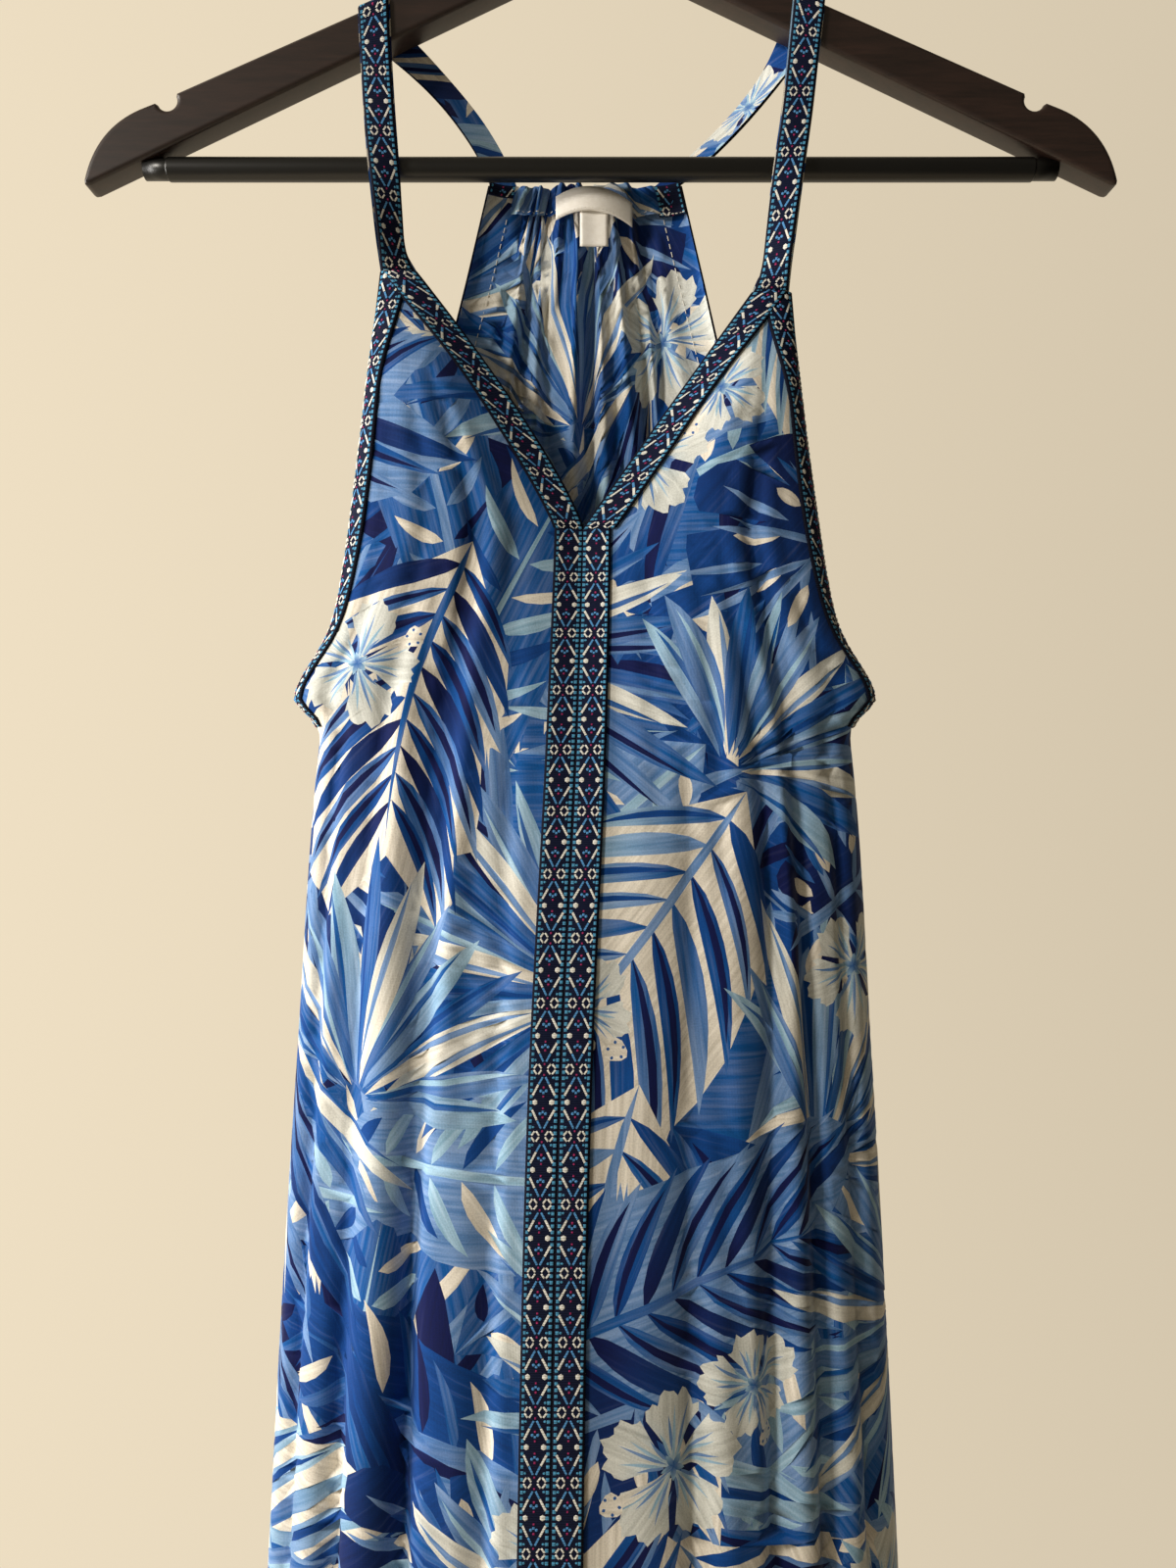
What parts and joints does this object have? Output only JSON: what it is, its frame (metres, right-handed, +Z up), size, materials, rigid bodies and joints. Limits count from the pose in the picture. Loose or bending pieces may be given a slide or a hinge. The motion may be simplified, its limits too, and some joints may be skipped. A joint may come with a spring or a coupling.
{
  "type": "maxi dress on a hanger",
  "caption": "Sleeveless V-neck maxi dress in printed cloth with woven trims and a gathered back neck, hung by its straps on a wooden hanger with a trouser bar.",
  "frame": {"origin": "top of the inside of the hook, where it rests on a rail", "axes": "+Z up, +X to the right of someone who looks at the front, -Y out of the front of the dress"},
  "size_m": [0.4444, 0.1466, 1.538],
  "materials": {
    "printed_cloth": "matte woven rayon, printed with leaves and flowers in blues on white",
    "woven_trim": "jacquard band, navy with teal, white and magenta figures",
    "white_label": "woven tape, bare",
    "dark_wood": "espresso stain under satin varnish",
    "bar_sleeve": "black sleeve on a black dowel",
    "hook_steel": "polished plated wire"
  },
  "bodies": {
    "root": {"front_left": "printed_cloth", "front_right": "printed_cloth", "back": "printed_cloth", "back_casing": "printed_cloth", "trim_front_left": "woven_trim", "trim_front_right": "woven_trim", "trim_neck_left": "woven_trim", "trim_neck_right": "woven_trim", "trim_armhole_front_left": "woven_trim", "trim_armhole_front_right": "woven_trim", "trim_armhole_back_left": "woven_trim", "trim_armhole_back_right": "woven_trim", "strap_trim_left": "woven_trim", "strap_trim_right": "woven_trim", "strap_facing_left": "printed_cloth", "strap_facing_right": "printed_cloth", "strap_end_left": "woven_trim", "strap_end_right": "woven_trim", "label": "white_label", "label_tab": "white_label", "hanger_body": "dark_wood", "trouser_bar": "bar_sleeve", "hanger_hook": "hook_steel"}
  },
  "joints": []
}
